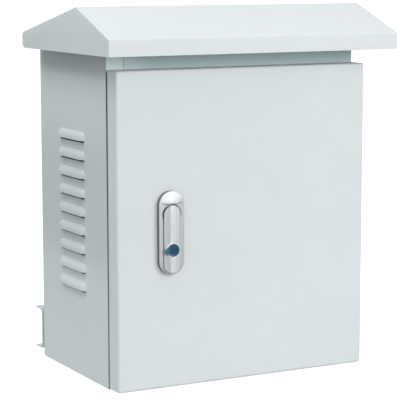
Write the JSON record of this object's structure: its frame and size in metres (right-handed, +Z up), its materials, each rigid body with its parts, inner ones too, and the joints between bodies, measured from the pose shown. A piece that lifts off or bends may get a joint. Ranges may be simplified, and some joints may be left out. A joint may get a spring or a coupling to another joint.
{
  "type": "outdoor electrical box",
  "caption": "Sheet-steel outdoor electrical cabinet with a gable rain hood, louvred sides, a hinged door with a plane lock, rear wall or pole rails and bottom cable entries.",
  "frame": {"origin": "middle of the cabinet's bottom face", "axes": "+Z up; -Y out of the door; the hinges are at +X and the lock at -X; the rails are at +Y"},
  "size_m": [0.46, 0.34, 0.534],
  "materials": {
    "cabinet_paint": "fine satin powder coat, light grey",
    "hood_paint": "fine satin powder coat, light grey",
    "door_paint": "fine satin powder coat, light grey",
    "galvanised_steel": "galvanised, faint spangle",
    "zinc_fasteners": "bright zinc",
    "hinge_steel": "satin zinc",
    "lock_chrome": "satin chrome on cast zinc",
    "lock_steel": "zinc-plated steel",
    "blue_plastic": "dark blue, glossy",
    "black_rubber": "matt black",
    "seal_foam": "soft closed-cell foam, matt"
  },
  "bodies": {
    "cabinet": {"body_shell": "cabinet_paint", "top_panel": "cabinet_paint", "bottom_panel": "cabinet_paint", "rain_hood": "hood_paint", "hood_saddle_left": "galvanised_steel", "hood_saddle_right": "galvanised_steel", "hood_bolts": "zinc_fasteners", "hood_nuts": "zinc_fasteners", "mounting_plate": "galvanised_steel", "plate_studs": "zinc_fasteners", "plate_washers": "zinc_fasteners", "plate_nuts": "zinc_fasteners", "lower_rail": "cabinet_paint", "upper_rail": "cabinet_paint", "rail_spacers": "black_rubber", "rail_bolts": "zinc_fasteners", "rail_nuts": "zinc_fasteners", "gland_plate": "cabinet_paint", "gland_seal": "seal_foam", "gland_bolts": "zinc_fasteners", "gland_nuts": "zinc_fasteners", "cable_grommet_left": "black_rubber", "cable_grommet_middle": "black_rubber", "cable_grommet_right": "black_rubber", "body_earth_stud": "zinc_fasteners", "body_earth_nut": "zinc_fasteners", "lower_hinge_body_leaf": "hinge_steel", "upper_hinge_body_leaf": "hinge_steel", "hinge_leaf_screws": "zinc_fasteners", "hinge_leaf_nuts": "zinc_fasteners"},
    "door": {"door": "door_paint", "door_seal": "seal_foam", "lower_hinge_door_leaf": "hinge_steel", "upper_hinge_door_leaf": "hinge_steel", "lower_hinge_pin": "zinc_fasteners", "upper_hinge_pin": "zinc_fasteners", "door_weld_studs": "zinc_fasteners", "hinge_stud_nuts": "zinc_fasteners", "door_earth_nut": "zinc_fasteners", "lock_base": "lock_chrome", "lock_seal": "black_rubber", "lock_clamp": "galvanised_steel", "lock_clamp_screws": "zinc_fasteners", "cylinder_housing": "lock_chrome", "cylinder_nut": "zinc_fasteners"},
    "key_plug": {"key_plug": "lock_chrome", "plug_cam": "lock_steel", "plug_cam_screw": "zinc_fasteners"},
    "rotor": {"rotor": "lock_steel", "rotor_clip": "zinc_fasteners", "latch_cam": "lock_steel", "cam_washer": "zinc_fasteners", "cam_screw": "zinc_fasteners"},
    "handle": {"handle": "lock_chrome", "handle_cross_pin": "zinc_fasteners", "dust_cap_pin": "blue_plastic"},
    "dust_cap": {"dust_cap": "blue_plastic"}
  },
  "joints": [
    {"name": "door_swing", "type": "hinge", "parent": "cabinet", "child": "door", "pos_m": [0.191, -0.134, 0.08], "axis": [0, 0, 1], "range_deg": [0, 110]},
    {"name": "handle_turn", "type": "hinge", "parent": "door", "child": "rotor", "pos_m": [-0.12, -0.151, 0.2483], "axis": [0, -1, 0], "range_deg": [0, 90]},
    {"name": "handle_lift", "type": "hinge", "parent": "rotor", "child": "handle", "pos_m": [-0.12, -0.1591, 0.2578], "axis": [-1, 0, 0], "range_deg": [0, 30]},
    {"name": "cap_swing", "type": "hinge", "parent": "handle", "child": "dust_cap", "pos_m": [-0.1274, -0.1628, 0.1976], "axis": [0, -1, 0], "range_deg": [0, 100]},
    {"name": "key_turn", "type": "hinge", "parent": "door", "child": "key_plug", "pos_m": [-0.12, -0.151, 0.1989], "axis": [0, -1, 0], "range_deg": [0, 90]}
  ]
}
